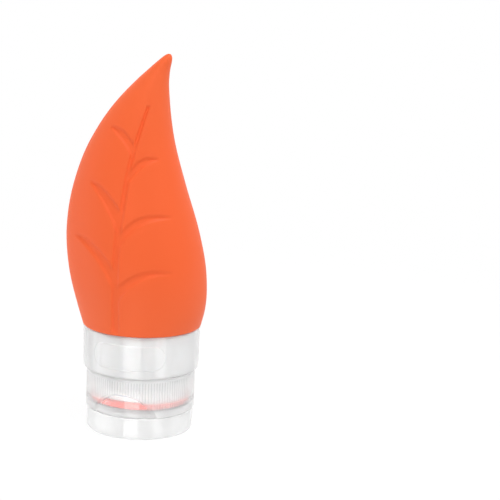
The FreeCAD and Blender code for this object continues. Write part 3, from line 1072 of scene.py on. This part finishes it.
    def gasket(self) -> None:
        """Turn the soft sealing ring that lies on the plate and shows through the skirt."""
        corners = [
            (self.gasket_bore, self.plate_top, 0.3, 3),
            (self.gasket_radius, self.plate_top, 0.3, 2),
            (self.gasket_radius, self.gasket_top, 0.5, 3),
            (self.gasket_bore, self.gasket_top, 0.3, 2),
        ]
        grid = TurnedGrid.from_corners(corners, self.gasket_columns)
        piece = add_surface("sealing_ring", grid.points(), Ends.LOOP)
        dress(piece, self.finishes.seal, "seal", "cap_gasket")

    def build(self) -> None:
        """Make the cap and what it holds."""
        self.base()
        self.retainer()
        self.valve()
        self.gasket()


@dataclass
class FlipLid:
    """The clear flip lid with its plug pin, and the strap that hinges it to the cap."""

    finishes: Finishes
    pole: float = 0.05
    radius: float = 17.52
    inner_radius: float = 16.02
    floor: float = 1.4
    top: float = 7.35
    edge_round: float = 1.4
    pin_radius: float = 1.3
    pin_top: float = 5.6
    columns: int = 320
    strap_middle: float = 18.22
    strap_half_width: float = 4.5
    strap_half_thick: float = 0.3
    strap_low: float = 5.85
    strap_high: float = 9.05
    fold_height: float = 7.45
    fold_thinning: float = 0.45
    fold_reach: float = 0.9
    fold_width: float = 0.5
    strap_squareness: float = 0.35
    strap_closing: float = 0.98
    strap_rows: int = 41
    strap_columns: int = 48

    def lid(self) -> None:
        """Turn the lid's outline from the middle of its foot, round the wall, to the tip of the pin."""
        corners = [
            (self.pole, 0.0, 0.0, 10),
            (self.radius, 0.0, self.edge_round, 8),
            (self.radius, self.top, 0.3, 1),
            (self.inner_radius, self.top, 0.3, 6),
            (self.inner_radius, self.floor, 0.8, 10),
            (self.pin_radius, self.floor, 0.5, 4),
            (self.pin_radius, self.pin_top, 0.4, 2),
            (self.pole, self.pin_top, 0.0, 1),
        ]
        grid = TurnedGrid.from_corners(corners, self.columns, closed=False, arc_steps=8)
        piece = add_surface("flip_lid_shell", grid.points(), Ends.POLES)
        dress(piece, self.finishes.lid, "lid", "flip_lid")

    def strap(self) -> None:
        """Carry the strap's flat oval section down across the parting, thinner at the fold.

        The section is an oval with straight sides, bent round the cap; its ends close in a rounded edge.
        """
        heights = np.linspace(self.strap_high, self.strap_low, self.strap_rows)
        ends = np.minimum(self.strap_high - heights, heights - self.strap_low)
        closing = np.sqrt(1 - (1 - ends / self.strap_half_thick).clip(0, self.strap_closing) ** 2)
        fold = 1 - self.fold_thinning * np.exp(-(((heights - self.fold_height) / self.fold_width) ** 2))
        turn = np.arange(self.strap_columns) * FULL_TURN / self.strap_columns
        cosine, sine = np.cos(turn), np.sin(turn)
        wide = np.sign(cosine) * np.abs(cosine) ** self.strap_squareness * self.strap_half_width
        thick = np.sign(sine) * np.abs(sine) ** self.strap_squareness * self.strap_half_thick
        inset = self.strap_half_thick * (1 - closing)
        across = wide * (1 - inset / self.strap_half_width)[:, None]
        radius = self.strap_middle + thick * (closing * fold)[:, None]
        bend = across / self.strap_middle
        height = np.broadcast_to(heights[:, None], across.shape)
        points = np.stack([radius * np.sin(bend), radius * np.cos(bend), height], axis=-1)
        piece = add_surface("hinge_strap", points, Ends.POLES)
        piece.data.materials.append(self.finishes.lid)
        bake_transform(piece)
        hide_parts("living_hinge")
        log.info("hinge_strap bends between cap and lid")

    def build(self) -> None:
        """Make the lid and its strap."""
        self.lid()
        self.strap()


@dataclass(frozen=True)
class Strip:
    """A tall bright panel that only gloss shows.

    Its middle stands that many degrees right of the camera. Half width is in degrees, and glow is added
    brightness.
    """

    turn: float
    half: float
    glow: float


@dataclass(frozen=True)
class Lamp:
    """A square lamp that faces the bottle.

    It hangs that many degrees right of the camera and above the horizon. Distance and side are in metres,
    and a glow of 1 is the white of the backdrop.
    """

    name: str
    turn: float
    rise: float
    away: float
    side: float
    glow: float


@dataclass
class Studio:
    """White floor, soft lamps, pale world and the camera at the photograph's angle."""

    floor_half: float = 0.5
    floor_drop: float = 0.0002
    floor_cover: float = 0.12
    floor_lift: float = 0.28
    floor_solid: float = 0.08
    floor_gone: float = 0.30
    ambient: float = 0.71
    strip_edge: float = 0.8
    strips: tuple[Strip, ...] = (Strip(-18.0, 17.0, 3.0), Strip(40.0, 9.0, 2.5))
    lamps: tuple[Lamp, ...] = (
        Lamp("key_box", 36.0, 63.0, 0.9, 0.5, 4.0),
        Lamp("fill_box", -88.0, -10.0, 0.8, 0.6, 1.3),
        Lamp("side_box", 90.0, -10.0, 0.8, 0.6, 0.5),
        Lamp("back_box", 180.0, 35.0, 0.9, 0.6, 0.7),
    )
    lamp_target: float = 0.065
    azimuth: float = 20.0
    distance: float = 0.560
    camera_height: float = 0.18345
    lens: float = 126.6
    yaw: float = 3.532
    pitch: float = 12.376
    roll: float = 2.25

    def floor(self) -> None:
        """Lay a white floor that is partly see-through, so that the open lid below it still shows.

        It fades out in a ring round the bottle, where the white of the world takes over, and it is clear from
        below.
        """
        half, low = self.floor_half, -self.floor_drop
        mesh = bpy.data.meshes.new("studio_floor")
        square = [(-half, -half, low), (half, -half, low), (half, half, low), (-half, half, low)]
        mesh.from_pydata(square, [], [(0, 1, 2, 3)])
        sketch = NodeSketch(bpy.data.materials.new("floor_white"))
        cloud = sketch.spread(sketch.noise(6.0, 2.0), 0.0, 1.0)
        tone = sketch.blend(cloud, grey(0.93), grey(0.95))
        paint = sketch.node("ShaderNodeBsdfDiffuse", {"Color": tone})
        lift = sketch.sum("MULTIPLY", sketch.seen(), self.floor_lift)
        glow = sketch.node("ShaderNodeEmission", {"Strength": lift})
        lit = sketch.node("ShaderNodeAddShader", {0: paint.outputs[0], 1: glow.outputs[0]})
        place = sketch.node("ShaderNodeTexCoord").outputs["Object"]
        away = sketch.node("ShaderNodeVectorMath", {0: place}, operation="LENGTH").outputs["Value"]
        cover = sketch.fade(away, self.floor_gone, self.floor_solid, self.floor_cover)
        above = sketch.sum("SUBTRACT", 1.0, sketch.node("ShaderNodeNewGeometry").outputs["Backfacing"])
        cover = sketch.sum("MULTIPLY", cover, above)
        clear = sketch.node("ShaderNodeBsdfTransparent")
        mix = sketch.node("ShaderNodeMixShader", {0: cover, 1: clear.outputs[0], 2: lit.outputs[0]})
        sketch.node("ShaderNodeOutputMaterial", {"Surface": mix.outputs[0]})
        mesh.materials.append(sketch.owner)
        made = bpy.data.objects.new("studio_floor", mesh)
        bpy.context.scene.collection.objects.link(made)

    def world(self) -> None:
        """Fill the world with light.

        Camera, gloss and clear pieces see white, everything else a softer light. Gloss also sees the tall
        panels, whose share falls off smoothly with the angle from their middle.
        """
        world = bpy.data.worlds.new("white_tent")
        sketch = NodeSketch(world)
        ranged = {"Value": sketch.seen(), "To Min": self.ambient}
        level = sketch.node("ShaderNodeMapRange", ranged).outputs["Result"]
        gloss = sketch.node("ShaderNodeLightPath").outputs["Is Glossy Ray"]
        way = sketch.node("ShaderNodeTexCoord").outputs["Generated"]
        parts = sketch.node("ShaderNodeSeparateXYZ", {"Vector": way}).outputs
        bearing = sketch.sum("ARCTAN2", parts["X"], sketch.sum("MULTIPLY", parts["Y"], -1.0))
        for strip in self.strips:
            middle = math.radians(self.azimuth + strip.turn)
            off = sketch.sum("ABSOLUTE", sketch.sum("SUBTRACT", bearing, middle), 0.0)
            outer, inner = (math.radians(strip.half + side * self.strip_edge) for side in (1, -1))
            panel = sketch.fade(off, outer, inner, strip.glow)
            level = sketch.sum("ADD", level, sketch.sum("MULTIPLY", panel, gloss))
        light = sketch.node("ShaderNodeBackground", {"Color": (1, 1, 1, 1), "Strength": level})
        sketch.node("ShaderNodeOutputWorld", {"Surface": light.outputs[0]})
        bpy.context.scene.world = world

    def hang(self, lamp: Lamp) -> None:
        """Hang a lamp. Its power is its glow times pi times its area.

        Args:
            lamp: The lamp's place, size and glow.
        """
        light = bpy.data.lights.new(lamp.name, "AREA")
        light.shape = "RECTANGLE"
        light.size = light.size_y = lamp.side
        light.energy = lamp.glow * math.pi * lamp.side * lamp.side
        made = bpy.data.objects.new(lamp.name, light)
        side, up = math.radians(self.azimuth + lamp.turn), math.radians(lamp.rise)
        out = Vector((math.sin(side) * math.cos(up), -math.cos(side) * math.cos(up), math.sin(up)))
        made.location = Vector((0, 0, self.lamp_target)) + out * lamp.away
        made.rotation_mode = "QUATERNION"
        made.rotation_quaternion = out.to_track_quat("Z", "Y")
        bpy.context.scene.collection.objects.link(made)

    def camera(self) -> None:
        """Set the camera: from its place it looks level at the bottle's axis, then turns, tips and rolls."""
        data = bpy.data.cameras.new("photo_camera")
        data.sensor_fit = "HORIZONTAL"
        data.sensor_width = SENSOR_WIDTH
        data.lens = self.lens
        made = bpy.data.objects.new("photo_camera", data)
        side = math.radians(self.azimuth)
        out = Vector((math.sin(side), -math.cos(side), 0))
        place = out * self.distance + Vector((0, 0, self.camera_height))
        level = Matrix.Rotation(side, 4, "Z") @ Matrix.Rotation(math.pi / 2, 4, "X")
        aim = Matrix.Rotation(math.radians(-self.yaw), 4, "Z")
        tip = Matrix.Rotation(math.radians(-self.pitch), 4, "X")
        roll = Matrix.Rotation(math.radians(self.roll), 4, "Z")
        made.matrix_world = Matrix.Translation(place) @ aim @ level @ tip @ roll
        bpy.context.scene.collection.objects.link(made)
        bpy.context.scene.camera = made

    def build(self) -> None:
        """Set up the whole studio."""
        bpy.context.scene.view_settings.view_transform = "Standard"
        self.floor()
        self.world()
        for lamp in self.lamps:
            self.hang(lamp)
        self.camera()


def main() -> None:
    """Build the bottle's sub-assemblies in order, then the studio."""
    logging.basicConfig(level=logging.INFO, format="%(name)s: %(message)s")
    finishes = Finishes.make()
    for part in (LeafBody, NeckFittings, ContentsSleeve, ScrewCap, FlipLid):
        part(finishes).build()
    Studio().build()


if __name__ == "__main__":
    main()
